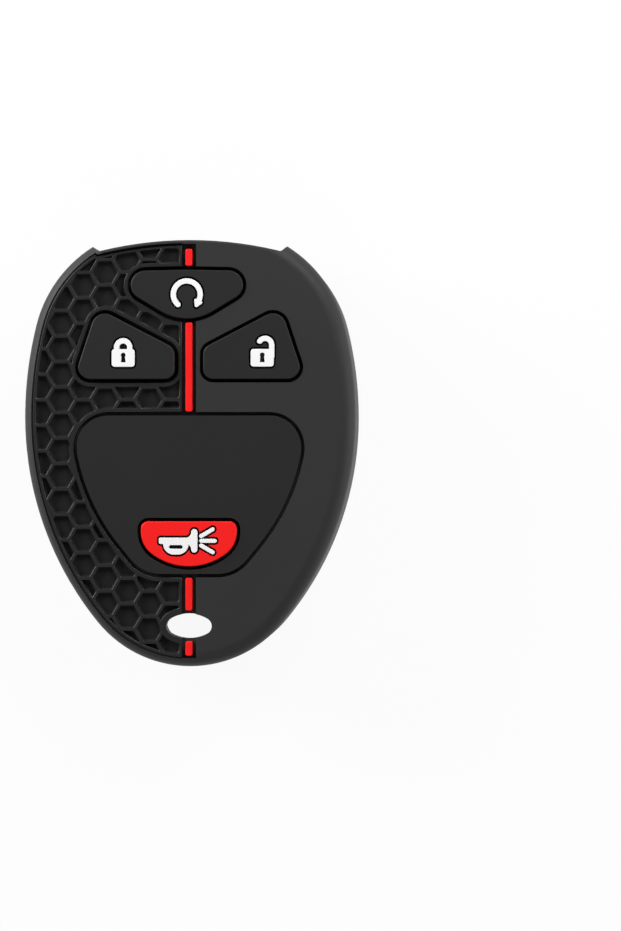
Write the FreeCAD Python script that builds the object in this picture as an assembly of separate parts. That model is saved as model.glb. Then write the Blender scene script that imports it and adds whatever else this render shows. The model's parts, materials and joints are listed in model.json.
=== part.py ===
"""Egg-shaped moulded silicone key fob cover with four button pads, a honeycomb half and a key-ring eye.

The cover lies on its back: +Z comes out of the button face, +Y points to the open mouth at the top and
+X is to the right as seen from the front. The origin is under the middle of the cover. Millimetres.
"""
import FreeCAD
import Part
import math
import os
from FreeCAD import Vector

# Overall size
WIDTH = 43.0
LENGTH = 55.2
THICKNESS = 16.0

# Egg outline: tail, flanks, shoulders and the crown that the mouth trims away
WIDEST_BELOW_MOUTH = 22.85
TAIL_RADIUS = 15.5
UPPER_FLANK_RADIUS = 49.2
SHOULDER_RADIUS = 16.8
CROWN_RADIUS = 26.7
CROWN_TRIM = 2.55

# Walls and edges
FRONT_EDGE_RADIUS = 2.0
BACK_EDGE_CHAMFER = 1.0
FRONT_WALL = 2.0
SIDE_WALL = 1.3
BACK_WALL = 1.2
CAVITY_CHAMFER = 0.8

# Open mouth at the top, between two pointed tips
NOTCH_DROP = 1.47
TIP_WIDTH = 1.8
NOTCH_ANGLE = 44.0
NOTCH_ROUNDING = 0.4
MOUTH_LIP_CHAMFER = 0.2

# Window in the back, open to the mouth
BACK_LIP = 4.5
WINDOW_ABOVE_TAIL = 21.75
WINDOW_CORNER_RADIUS = 4.0
WINDOW_MOUTH_WIDTH = 20.0

# Key-ring eye: an oval through the front and a wider one through the back
EYE_ABOVE_TAIL = 5.3
EYE_WIDTH = 5.9
EYE_HEIGHT = 3.21
EYE_END_RADIUS = 1.1
EYE_BACK_MARGIN = 1.3

# Depths below the face
POCKET_DEPTH = 1.2
PANEL_RECESS = 0.3
CELL_DEPTH = 0.65
STRIP_RECESS = 0.1
WEB_THICKNESS = 0.4

# Honeycomb panel on the left half
RIM_WIDTH = 1.0
RIM_WIDTH_AT_MOUTH = 0.4
PANEL_GAP = 0.25
PANEL_FRAME = 0.35
COLLAR = 0.55
EYE_COLLAR = 0.85
CELL_PITCH = 3.3
CELL_RIB = 0.46
CELL_X = -16.6
CELL_BELOW_MOUTH = 20.65
SMALLEST_CELL_AREA = 0.35

# Centre channel and its red strips
CHANNEL_WIDTH = 1.84
STRIP_WIDTH = 0.9
STRIP_END_GAP = 0.05
STRIP_EYE_GAP = 0.38
STRIP_TOP_INSET = 1.15
STRIP_TAIL_INSET = 1.45
CHANNEL_TOP_INSET = 0.5
CHANNEL_TAIL_INSET = 1.15

# Buttons: groove, height and plunger
GROOVE = 0.45
PAD_RISE = 0.25
PAD_EDGE_CHAMFER = 0.1
PLUNGER_INSET = 1.4
PLUNGER_HEIGHT = 0.5
PANIC_INLAY = 0.7

# Icons: white inlays standing in a moat
ICON_DEPTH = 0.7
ICON_MOAT = 0.27

# Rounding of outlines: the least radius, and the most of an edge that its two corners may take up
SHARPEST_CORNER = 0.2
ROUNDED_SHARE = 0.98

# Corner style of a widened outline, and what counts as the same place
ROUND_JOIN = 0
SMALL = 0.001

# Start pad, a rounded triangle a little left of the middle: drops from the mouth's edge, insets from the
# side and corner radii
START_SHIFT = -0.26
START_TOP_DROP = 3.85
START_TOP_RADIUS = 60.0
START_CORNER_DROP = 4.1
START_CORNER_INSET = 9.62
START_CORNER_RADIUS = 1.87
START_TIP_DROP = 11.26
START_TIP_RADIUS = 6.5

# Lock pad, and the unlock pad as its mirror image, measured the same way
LOCK_INNER_X = 1.87
LOCK_INNER_DROP = 13.98
LOCK_INNER_RADIUS = 1.4
LOCK_PEAK_DROP = 8.77
LOCK_PEAK_INSET = 9.62
LOCK_PEAK_RADIUS = 1.74
LOCK_BASE_DROP = 17.98
LOCK_OUTER_INSET = 6.57
LOCK_OUTER_RADIUS = 1.55
LOCK_FOOT_RADIUS = 1.25

# Palm pad: drops from the mouth's edge, and rises from the tail
PALM_TOP_DROP = 22.7
PALM_TOP_RADIUS = 4.1
PALM_SIDE_INSET = 6.98
PALM_WAIST_DROP = 27.49
PALM_WAIST_RADIUS = 3.4
PALM_FLANK_DROP = 34.38
PALM_FLANK_INSET = 8.38
PALM_FLANK_RADIUS = 26.5
PALM_FOOT_RISE = 12.03
PALM_FOOT_X = 6.02
PALM_FOOT_RADIUS = 5.0

# Panic button: rises from the tail
PANIC_HALF_WIDTH = 6.2
PANIC_TOP_RISE = 18.83
PANIC_TOP_RADIUS = 0.95
PANIC_SIDE_RISE = 15.6
PANIC_SIDE_RADIUS = 3.6
PANIC_TIP_RISE = 11.29
PANIC_TIP_RADIUS = 7.9

# Start icon: a ring from the root of its arrow head round to its open end, at angles in degrees
START_ICON_BELOW_MOUTH = 7.05
RING_RADIUS = 1.74
ICON_STROKE = 0.68
RING_END_ANGLE = 229.0
ARROW_ROOT_ANGLE = -25.0
ARROW_LENGTH = 1.2
ARROW_WIDTH = 1.4
ARROW_CORNER = 0.16

# Padlock icons, placed from the middle of their pads
LOCK_ICON_SHIFT = -0.1
UNLOCK_ICON_SHIFT = 1.1
PADLOCK_BELOW_MOUTH = 15.25
PADLOCK_WIDTH = 2.98
PADLOCK_HEIGHT = 2.28
PADLOCK_CORNER = 0.38
SHACKLE_WIDTH = 2.38
SHACKLE_RISE = 1.42
KEYHOLE_RADIUS = 0.32
KEYHOLE_RISE = 0.36
KEYHOLE_STEM = 0.93
KEYHOLE_NECK = 0.42
KEYHOLE_FOOT = 0.66
OPEN_SHACKLE_LIFT = 0.28
OPEN_SHACKLE_SHIFT = 0.08
OPEN_SHACKLE_ANGLE = 145.0

# Horn icon: tube, bell, hand loop and three rays
HORN_ABOVE_TAIL = 16.32
HORN_TUBE_LEFT = -3.87
HORN_TUBE_HEIGHT = 0.81
HORN_TUBE_CORNER = 0.2
HORN_BELL_LEFT = 0.33
HORN_BELL_WIDTH = 0.77
HORN_BELL_HEIGHT = 3.04
HORN_BELL_CORNER = 0.37
HORN_FLARE = 0.75
HORN_LOOP_LEFT = -3.31
HORN_LOOP_RIGHT = -0.03
HORN_LOOP_DROP = 1.38
HORN_LOOP_CORNER = 1.38
HORN_LOOP_STROKE = 0.75
HORN_HOLE_DROP = 0.15
RAY_WIDTH = 0.52
RAY_START = 1.38
RAY_LENGTH = 2.24
RAY_SPREAD = 0.49
RAY_ANGLE = 30.0

# Places that follow from the sizes above
MOUTH_Y = LENGTH / 2
TAIL_Y = -LENGTH / 2
SIDE_X = WIDTH / 2
WIDEST_Y = MOUTH_Y - WIDEST_BELOW_MOUTH
EYE_Y = TAIL_Y + EYE_ABOVE_TAIL
HORN_Y = TAIL_Y + HORN_ABOVE_TAIL
PADLOCK_Y = MOUTH_Y - PADLOCK_BELOW_MOUTH
LOCK_OUTER_X = SIDE_X - LOCK_OUTER_INSET
LOCK_MIDDLE_X = (LOCK_INNER_X + LOCK_OUTER_X) / 2
PALM_SIDE_X = SIDE_X - PALM_SIDE_INSET
FRONT_UNDERSIDE = THICKNESS - FRONT_WALL
POCKET_FLOOR = THICKNESS - POCKET_DEPTH
PANEL_TOP = THICKNESS - PANEL_RECESS
PAD_TOP = THICKNESS + PAD_RISE
ICON_FLOOR = PAD_TOP - ICON_DEPTH
PANIC_FLOOR = PAD_TOP - PANIC_INLAY


def point(x, y):
    return Vector(x, y, 0)


def mirrored(vector):
    return Vector(-vector.x, vector.y, vector.z)


def prism(shape, low, high):
    """The faces of a flat shape, raised from one height to another."""
    solids = []
    for face in shape.Faces:
        solid = face.extrude(Vector(0, 0, high - low))
        solid.translate(Vector(0, 0, low))
        solids.append(solid)
    return solids[0] if len(solids) == 1 else Part.Compound(solids)


def raised(shape, low):
    """A flat shape raised from the given height to well above the cover."""
    return prism(shape, low, 2 * THICKNESS)


def rounded_face(corners, grow=0.0):
    """A counter-clockwise polygon with rounded corners, widened by grow all round."""
    count = len(corners)
    places = [point(x, y) for x, y, radius in corners]
    ways = [(places[(i + 1) % count] - places[i]).normalize() for i in range(count)]
    halves = [ways[i - 1].getAngle(ways[i]) / 2 for i in range(count)]
    outward = [(ways[i - 1] - ways[i]).normalize() for i in range(count)]
    tips = [places[i] + outward[i] * (grow / math.cos(halves[i])) for i in range(count)]
    radii = [max(radius + grow, SHARPEST_CORNER) for x, y, radius in corners]
    reaches = [radii[i] * math.tan(halves[i]) for i in range(count)]
    crowding = [(reaches[i - 1] + reaches[i]) / (tips[i] - tips[i - 1]).Length for i in range(count)]
    arcs = []
    for i in range(count):
        shrink = max(1.0, crowding[i] / ROUNDED_SHARE, crowding[(i + 1) % count] / ROUNDED_SHARE)
        reach = reaches[i] / shrink
        middle = tips[i] - outward[i] * (radii[i] / shrink * (1 / math.cos(halves[i]) - 1))
        arcs.append((tips[i] - ways[i - 1] * reach, middle, tips[i] + ways[i] * reach))
    edges = []
    for i in range(count):
        edges.append(Part.Arc(*arcs[i]).toShape())
        edges.append(Part.makeLine(arcs[i][2], arcs[(i + 1) % count][0]))
    return Part.Face(Part.Wire(edges))


def with_mirror(bottom, half, top):
    """Corners of a symmetric outline from its right half, running upward, and those on the middle line."""
    left = [(-x, y, radius) for x, y, radius in reversed(half)]
    return bottom + half + top + left


def rectangle(x_low, y_low, x_high, y_high):
    return Part.makePlane(x_high - x_low, y_high - y_low, point(x_low, y_low))


def rounded_rectangle(x_low, y_low, x_high, y_high, radius):
    corners = [(x_low, y_low), (x_high, y_low), (x_high, y_high), (x_low, y_high)]
    return rounded_face([(x, y, radius) for x, y in corners])


def oval(grow=0.0):
    """Four-arc oval of the key-ring eye, widened by grow all round."""
    half = EYE_WIDTH / 2 + grow
    rise = EYE_HEIGHT / 2 + grow
    end = EYE_END_RADIUS + grow
    flank = ((half - end) ** 2 + rise ** 2 - end ** 2) / (2 * (rise - end))
    way = point(half - end, flank - rise).normalize()
    x = half - end + way.x * end
    y = way.y * end
    joints = [point(x, EYE_Y - y), point(x, EYE_Y + y), point(-x, EYE_Y + y), point(-x, EYE_Y - y)]
    middles = [point(half, EYE_Y), point(0, EYE_Y + rise), point(-half, EYE_Y), point(0, EYE_Y - rise)]
    arcs = [Part.Arc(joints[i], middles[i], joints[(i + 1) % 4]).toShape() for i in range(4)]
    return Part.Face(Part.Wire(arcs))


def joined(first, *others):
    return first.multiFuse(list(others)).removeSplitter()


# Egg outline

def egg_circles():
    """Centres and radii from the tail up the right side to the crown."""
    half = WIDTH / 2
    tail = point(0, TAIL_Y + TAIL_RADIUS)
    rise = WIDEST_Y - tail.y
    lower_radius = (half ** 2 + rise ** 2 - TAIL_RADIUS ** 2) / (2 * (half - TAIL_RADIUS))
    lower = point(half - lower_radius, WIDEST_Y)
    upper = point(half - UPPER_FLANK_RADIUS, WIDEST_Y)
    crown = point(0, MOUTH_Y + CROWN_TRIM - CROWN_RADIUS)
    to_shoulder = UPPER_FLANK_RADIUS - SHOULDER_RADIUS
    from_crown = CROWN_RADIUS - SHOULDER_RADIUS
    span = (crown - upper).Length
    along = (crown - upper).normalize()
    across = point(-along.y, along.x)
    step = (span ** 2 + to_shoulder ** 2 - from_crown ** 2) / (2 * span)
    shoulder = upper + along * step + across * math.sqrt(to_shoulder ** 2 - step ** 2)
    return [(tail, TAIL_RADIUS), (lower, lower_radius), (upper, UPPER_FLANK_RADIUS),
            (shoulder, SHOULDER_RADIUS), (crown, CROWN_RADIUS)]


def egg_face(inset=0.0):
    """The egg outline, moved inward by the inset."""
    circles = egg_circles()
    tail, lower, upper, shoulder, crown = [centre for centre, radius in circles]
    normals = [(tail - lower).normalize(), Vector(1, 0, 0),
               (shoulder - upper).normalize(), (shoulder - crown).normalize()]

    def arc(circle, start, end):
        centre, radius = circle
        middle = (start + end).normalize()
        return Part.Arc(*[centre + way * (radius - inset) for way in (start, middle, end)]).toShape()

    def mirrored_arc(circle, start, end):
        centre, radius = circle
        return arc((mirrored(centre), radius), mirrored(start), mirrored(end))

    edges = [arc(circles[0], mirrored(normals[0]), normals[0])]
    for i in range(3):
        edges.append(arc(circles[i + 1], normals[i], normals[i + 1]))
    edges.append(arc(circles[4], normals[3], mirrored(normals[3])))
    for i in reversed(range(3)):
        edges.append(mirrored_arc(circles[i + 1], normals[i + 1], normals[i]))
    return Part.Face(Part.Wire(edges))


def egg_body():
    """Outer egg solid with a rounded front edge and a bevelled back edge."""
    body = prism(egg_face(), 0.0, THICKNESS)
    body = body.makeFillet(FRONT_EDGE_RADIUS, edges_at(body, THICKNESS))
    return body.makeChamfer(BACK_EDGE_CHAMFER, edges_at(body, 0.0))


def cavity():
    """The pocket inside the cover, bevelled round its ceiling."""
    space = prism(egg_face(SIDE_WALL), BACK_WALL, FRONT_UNDERSIDE)
    return space.makeChamfer(CAVITY_CHAMFER, edges_at(space, FRONT_UNDERSIDE))


def edges_at(solid, height):
    """Edges of a solid that lie flat at the given height."""
    return [edge for edge in solid.Edges
            if abs(edge.BoundBox.ZMin - height) < SMALL and abs(edge.BoundBox.ZMax - height) < SMALL]


def upright_edges(solid, y):
    """Edges of a prism that run along Z at the given y."""
    return [edge for edge in solid.Edges
            if edge.BoundBox.ZLength > SMALL and max(abs(end.Y - y) for end in edge.Vertexes) < SMALL]


def notch_corner():
    """Inner end of the right notch, where the top edge of the mouth begins."""
    y = MOUTH_Y - NOTCH_DROP
    across = egg_face().common(Part.makeLine(point(0, y), point(WIDTH, y)))
    return point(across.BoundBox.XMax - TIP_WIDTH, y)


def below_mouth(drop=0.0, high=2 * THICKNESS):
    """Everything below the top edge of the mouth and its two notches, lowered by the drop."""
    corner = notch_corner() - point(0, drop)
    far_y = corner.y + (WIDTH - corner.x) * math.tan(math.radians(NOTCH_ANGLE))
    far = point(WIDTH, far_y)
    foot = point(WIDTH, -LENGTH)
    edges = [Part.Arc(corner, point(0, MOUTH_Y - drop), mirrored(corner)).toShape(),
             Part.makeLine(mirrored(corner), mirrored(far)), Part.makeLine(mirrored(far), mirrored(foot)),
             Part.makeLine(mirrored(foot), foot), Part.makeLine(foot, far), Part.makeLine(far, corner)]
    solid = prism(Part.Face(Part.Wire(edges)), -THICKNESS, high)
    return solid.makeFillet(NOTCH_ROUNDING, upright_edges(solid, corner.y))


def mouth_lip():
    """Everything below the mouth and the face, with a bevelled front edge along the mouth."""
    solid = below_mouth(high=THICKNESS)
    lip = [edge for edge in edges_at(solid, THICKNESS)
           if edge.BoundBox.YMin > 0 and edge.BoundBox.XLength > SMALL]
    return solid.makeChamfer(MOUTH_LIP_CHAMFER, lip)


# Outlines of the pads, counter-clockwise: x, y and rounding of each corner

START_CORNER = (SIDE_X - START_CORNER_INSET, MOUTH_Y - START_CORNER_DROP, START_CORNER_RADIUS)
START_OUTLINE = with_mirror([(0.0, MOUTH_Y - START_TIP_DROP, START_TIP_RADIUS)], [START_CORNER],
                            [(0.0, MOUTH_Y - START_TOP_DROP, START_TOP_RADIUS)])
START_CORNERS = [(x + START_SHIFT, y, radius) for x, y, radius in START_OUTLINE]
UNLOCK_CORNERS = [(LOCK_INNER_X, MOUTH_Y - LOCK_BASE_DROP, LOCK_FOOT_RADIUS),
                  (LOCK_OUTER_X, MOUTH_Y - LOCK_BASE_DROP, LOCK_OUTER_RADIUS),
                  (SIDE_X - LOCK_PEAK_INSET, MOUTH_Y - LOCK_PEAK_DROP, LOCK_PEAK_RADIUS),
                  (LOCK_INNER_X, MOUTH_Y - LOCK_INNER_DROP, LOCK_INNER_RADIUS)]
LOCK_CORNERS = [(-x, y, radius) for x, y, radius in reversed(UNLOCK_CORNERS)]
PALM_CORNERS = with_mirror([], [(PALM_FOOT_X, TAIL_Y + PALM_FOOT_RISE, PALM_FOOT_RADIUS),
                                (SIDE_X - PALM_FLANK_INSET, MOUTH_Y - PALM_FLANK_DROP, PALM_FLANK_RADIUS),
                                (PALM_SIDE_X, MOUTH_Y - PALM_WAIST_DROP, PALM_WAIST_RADIUS),
                                (PALM_SIDE_X, MOUTH_Y - PALM_TOP_DROP, PALM_TOP_RADIUS)], [])
PANIC_CORNERS = with_mirror([(0.0, TAIL_Y + PANIC_TIP_RISE, PANIC_TIP_RADIUS)],
                            [(PANIC_HALF_WIDTH, TAIL_Y + PANIC_SIDE_RISE, PANIC_SIDE_RADIUS),
                             (PANIC_HALF_WIDTH, TAIL_Y + PANIC_TOP_RISE, PANIC_TOP_RADIUS)], [])
START_OPENING = rounded_face(START_CORNERS, GROOVE)
PALM_PAD = rounded_face(PALM_CORNERS)
PALM_OPENING = rounded_face(PALM_CORNERS, GROOVE)


def left_field(inset, right_edge, grow, eye_grow):
    """The left half inside an inset outline, without the pads, widened by grow, and the eye."""
    left = rectangle(-WIDTH, -LENGTH, right_edge, LENGTH)
    field = egg_face(inset).common(left)
    for corners in (START_CORNERS, LOCK_CORNERS, PALM_CORNERS):
        field = field.cut(rounded_face(corners, grow))
    return field.cut(oval(eye_grow))


def pocket():
    """The recess for the panel and the strips, with the groove round the palm pad."""
    right_edge = CHANNEL_WIDTH / 2
    left = egg_face(RIM_WIDTH).common(rectangle(-WIDTH, -LENGTH, -right_edge, LENGTH))
    channel = rectangle(-right_edge, TAIL_Y + CHANNEL_TAIL_INSET, right_edge, MOUTH_Y - CHANNEL_TOP_INSET)
    panel_bed = raised(left, POCKET_FLOOR).common(below_mouth(RIM_WIDTH_AT_MOUTH))
    bed = panel_bed.multiFuse([raised(channel, POCKET_FLOOR), raised(PALM_OPENING, POCKET_FLOOR)])
    return bed.cut(raised(PALM_PAD, POCKET_FLOOR))


# Pieces

def cover_shell():
    shell = egg_body().common(mouth_lip()).cut(cavity())
    front = [rounded_face(corners, GROOVE)
             for corners in (START_CORNERS, LOCK_CORNERS, UNLOCK_CORNERS, PANIC_CORNERS)]
    front.append(oval())
    middle = THICKNESS / 2
    cuts = [raised(face, middle) for face in front]
    cuts += [pocket(), window(middle), prism(oval(EYE_BACK_MARGIN), -THICKNESS, middle)]
    return shell.cut(cuts)


def window(high):
    """Opening in the back: inside the lips, above its bottom edge and out through the mouth."""
    half = WINDOW_MOUTH_WIDTH / 2
    bottom = TAIL_Y + WINDOW_ABOVE_TAIL
    inside = egg_face(BACK_LIP).common(rectangle(-WIDTH, bottom, WIDTH, LENGTH))
    solid = prism(inside, -THICKNESS, high)
    solid = solid.makeFillet(WINDOW_CORNER_RADIUS, upright_edges(solid, bottom))
    return solid.fuse(prism(rectangle(-half, WIDEST_Y, half, LENGTH), -THICKNESS, high))


def honeycomb_cells():
    """Flat-topped hexagons in columns, clipped by the frame and the collars."""
    frame = RIM_WIDTH + PANEL_GAP + PANEL_FRAME
    field = left_field(frame, -CHANNEL_WIDTH / 2 - PANEL_FRAME, GROOVE + COLLAR, EYE_COLLAR)
    solid = raised(field, -THICKNESS).common(below_mouth(RIM_WIDTH_AT_MOUTH + PANEL_GAP + PANEL_FRAME))
    column_step = CELL_PITCH * math.cos(math.radians(30))
    radius = (CELL_PITCH - CELL_RIB) / 2 / math.cos(math.radians(30))
    spokes = [point(math.cos(math.radians(60 * i)), math.sin(math.radians(60 * i))) for i in range(7)]
    columns = math.ceil(WIDTH / column_step)
    rows = math.ceil(LENGTH / CELL_PITCH)
    cells = []
    for column in range(-columns, columns + 1):
        shift = CELL_PITCH / 2 if column % 2 else 0.0
        x = CELL_X + column * column_step
        if not -WIDTH / 2 < x < CELL_PITCH:
            continue
        for row in range(-rows, rows + 1):
            centre = point(x, MOUTH_Y - CELL_BELOW_MOUTH + row * CELL_PITCH + shift)
            hexagon = Part.Face(Part.makePolygon([centre + spoke * radius for spoke in spokes]))
            clipped = hexagon.common(solid)
            cells += [face for face in clipped.Faces if face.Area > SMALLEST_CELL_AREA]
    return cells


def honeycomb_panel():
    field = left_field(RIM_WIDTH + PANEL_GAP, -CHANNEL_WIDTH / 2, GROOVE, 0.0)
    panel = prism(field, POCKET_FLOOR, PANEL_TOP).common(below_mouth(RIM_WIDTH_AT_MOUTH + PANEL_GAP))
    return panel.cut([raised(cell, PANEL_TOP - CELL_DEPTH) for cell in honeycomb_cells()])


def red_strip(low, high):
    half = STRIP_WIDTH / 2
    return prism(rectangle(-half, low, half, high), POCKET_FLOOR, THICKNESS - STRIP_RECESS)


def web(corners):
    """Thin ring that fills the bottom of the groove between a pad and its opening."""
    ring = rounded_face(corners, GROOVE).cut(rounded_face(corners))
    return prism(ring, FRONT_UNDERSIDE, FRONT_UNDERSIDE + WEB_THICKNESS)


def soft_block(corners, low, high):
    """Block with a bevelled edge round its top."""
    block = prism(rounded_face(corners), low, high)
    return block.makeChamfer(PAD_EDGE_CHAMFER, edges_at(block, high))


def plunger(corners):
    """Lower foot of a button, which stands down into the pocket."""
    return prism(rounded_face(corners, -PLUNGER_INSET), FRONT_UNDERSIDE - PLUNGER_HEIGHT, FRONT_UNDERSIDE)


def icon_solid(faces, holes, floor):
    """White inlay from the floor of its moat up to the top of its pad."""
    solid = prism(faces[0], floor, PAD_TOP)
    if len(faces) > 1:
        solid = joined(solid, *[prism(face, floor, PAD_TOP) for face in faces[1:]])
    for hole in holes:
        solid = solid.cut(prism(hole, floor, PAD_TOP))
    return solid


def moat(faces, floor):
    """Recess round an icon, with the holes inside the icon filled."""
    icon = joined(*faces) if len(faces) > 1 else faces[0]
    outlines = [Part.Face(face.OuterWire) for face in icon.Faces]
    return [raised(outline.makeOffset2D(ICON_MOAT, ROUND_JOIN), floor) for outline in outlines]


# Icon outlines: the faces that make up an icon, and the holes in it

def way(angle):
    return point(math.cos(math.radians(angle)), math.sin(math.radians(angle)))


def disc(centre, radius):
    low = centre - point(radius, radius)
    high = centre + point(radius, radius)
    return rounded_rectangle(low.x, low.y, high.x, high.y, radius)


def band(centre, radius, start, end):
    """Part of a ring one stroke wide, between two angles."""
    inner = radius - ICON_STROKE / 2
    outer = radius + ICON_STROKE / 2
    ways = [way(start), way((start + end) / 2), way(end)]
    edges = [Part.Arc(*[centre + one * outer for one in ways]).toShape(),
             Part.makeLine(centre + ways[2] * outer, centre + ways[2] * inner),
             Part.Arc(*[centre + one * inner for one in reversed(ways)]).toShape(),
             Part.makeLine(centre + ways[0] * inner, centre + ways[0] * outer)]
    return Part.Face(Part.Wire(edges))


def ring_arrow():
    centre = point(START_SHIFT, MOUTH_Y - START_ICON_BELOW_MOUTH)
    ring = band(centre, RING_RADIUS, ARROW_ROOT_ANGLE, RING_END_ANGLE)
    cap = disc(centre + way(RING_END_ANGLE) * RING_RADIUS, ICON_STROKE / 2)
    root = way(ARROW_ROOT_ANGLE)
    tip = centre + root * RING_RADIUS + point(root.y, -root.x) * ARROW_LENGTH
    head_inner = centre + root * (RING_RADIUS - ARROW_WIDTH / 2)
    head_outer = centre + root * (RING_RADIUS + ARROW_WIDTH / 2)
    head = rounded_face([(place.x, place.y, ARROW_CORNER) for place in (head_outer, head_inner, tip)])
    return [ring, cap, head], []


def padlock(x, is_open):
    half_width = PADLOCK_WIDTH / 2
    half_height = PADLOCK_HEIGHT / 2
    top = PADLOCK_Y + half_height
    body = rounded_rectangle(x - half_width, PADLOCK_Y - half_height, x + half_width, top, PADLOCK_CORNER)
    spring = top + SHACKLE_RISE - SHACKLE_WIDTH / 2
    outer = SHACKLE_WIDTH / 2
    middle = outer - ICON_STROKE / 2
    inner = outer - ICON_STROKE
    if is_open:
        centre = point(x + half_width - outer + OPEN_SHACKLE_SHIFT, spring + OPEN_SHACKLE_LIFT)
        bow = band(centre, middle, 0.0, OPEN_SHACKLE_ANGLE)
        other_end = disc(centre + way(OPEN_SHACKLE_ANGLE) * middle, ICON_STROKE / 2)
    else:
        centre = point(x, spring)
        bow = band(centre, middle, 0.0, 180.0)
        other_end = rectangle(x - outer, PADLOCK_Y, x - inner, spring)
    leg = rectangle(centre.x + inner, PADLOCK_Y, centre.x + outer, centre.y)
    hole_y = PADLOCK_Y + KEYHOLE_RISE
    foot_y = hole_y - KEYHOLE_STEM
    neck = KEYHOLE_NECK / 2
    foot = KEYHOLE_FOOT / 2
    stem = Part.Face(Part.makePolygon([point(x + neck, hole_y), point(x - neck, hole_y),
                                       point(x - foot, foot_y), point(x + foot, foot_y),
                                       point(x + neck, hole_y)]))
    return [body, bow, leg, other_end], [disc(point(x, hole_y), KEYHOLE_RADIUS), stem]


def horn():
    half_tube = HORN_TUBE_HEIGHT / 2
    half_bell = HORN_BELL_HEIGHT / 2
    bell_right = HORN_BELL_LEFT + HORN_BELL_WIDTH
    bell_middle = HORN_BELL_LEFT + HORN_BELL_WIDTH / 2
    tube = rounded_rectangle(HORN_TUBE_LEFT, HORN_Y - half_tube, bell_middle, HORN_Y + half_tube,
                             HORN_TUBE_CORNER)
    bell = rounded_rectangle(HORN_BELL_LEFT, HORN_Y - half_bell, bell_right, HORN_Y + half_bell,
                             HORN_BELL_CORNER)
    low = HORN_Y - half_tube - HORN_LOOP_DROP
    loop = rounded_face([(HORN_LOOP_LEFT, low, HORN_LOOP_CORNER), (HORN_LOOP_RIGHT, low, HORN_LOOP_CORNER),
                         (HORN_LOOP_RIGHT, HORN_Y, SHARPEST_CORNER),
                         (HORN_LOOP_LEFT, HORN_Y, SHARPEST_CORNER)])
    hole_low = low + HORN_LOOP_STROKE
    hole_top = HORN_Y - half_tube - HORN_HOLE_DROP
    hole = rounded_rectangle(HORN_LOOP_LEFT + HORN_LOOP_STROKE, hole_low, HORN_LOOP_RIGHT - HORN_LOOP_STROKE,
                             hole_top, (hole_top - hole_low) / 2)
    return [tube, bell, flare(half_tube, bell_middle), loop], [hole]


def flare(half_tube, bell_middle):
    """Hollow-sided widening from the horn's tube to its bell."""
    root = HORN_BELL_LEFT - HORN_FLARE
    outer = half_tube + HORN_FLARE
    belly = HORN_FLARE * math.sin(math.radians(45))
    edges = []
    for side in (-1, 1):
        neck = point(root, HORN_Y + side * half_tube)
        middle = point(root + belly, HORN_Y + side * (outer - belly))
        lip = point(HORN_BELL_LEFT, HORN_Y + side * outer)
        corner = point(bell_middle, HORN_Y + side * outer)
        edges += [Part.Arc(neck, middle, lip).toShape(), Part.makeLine(lip, corner)]
    edges.append(Part.makeLine(point(bell_middle, HORN_Y - outer), point(bell_middle, HORN_Y + outer)))
    edges.append(Part.makeLine(point(root, HORN_Y + half_tube), point(root, HORN_Y - half_tube)))
    return Part.Face(Part.Wire(Part.__sortEdges__(edges)))


def ray(side):
    """Bar fanning out from the bell: side is 1, 0 or -1 for upper, middle and lower."""
    half = RAY_WIDTH / 2
    bar = rounded_rectangle(0, -half, RAY_LENGTH, half, half)
    bar.rotate(Vector(0, 0, 0), Vector(0, 0, 1), RAY_ANGLE * side)
    bar.translate(point(RAY_START, HORN_Y + RAY_SPREAD * side))
    return bar


def ray_root():
    """Gap between the bell and the inner ends of the rays."""
    bell_right = HORN_BELL_LEFT + HORN_BELL_WIDTH
    return rectangle(bell_right, HORN_Y - RAY_SPREAD, RAY_START + RAY_WIDTH, HORN_Y + RAY_SPREAD)


def panic_pieces():
    rays = {"upper": ray(1), "middle": ray(0), "lower": ray(-1)}
    horn_faces, horn_holes = horn()
    recess = moat(horn_faces + list(rays.values()) + [ray_root()], PANIC_FLOOR)
    base = prism(rounded_face(PANIC_CORNERS), FRONT_UNDERSIDE, PANIC_FLOOR)
    inlay = soft_block(PANIC_CORNERS, PANIC_FLOOR, PAD_TOP)
    pieces = {"panic_button": joined(base, plunger(PANIC_CORNERS)),
              "panic_inlay": inlay.cut(recess),
              "horn_icon": icon_solid(horn_faces, horn_holes, PANIC_FLOOR)}
    for name, face in rays.items():
        pieces["horn_ray_" + name] = icon_solid([face], [], PANIC_FLOOR)
    return pieces


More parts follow.
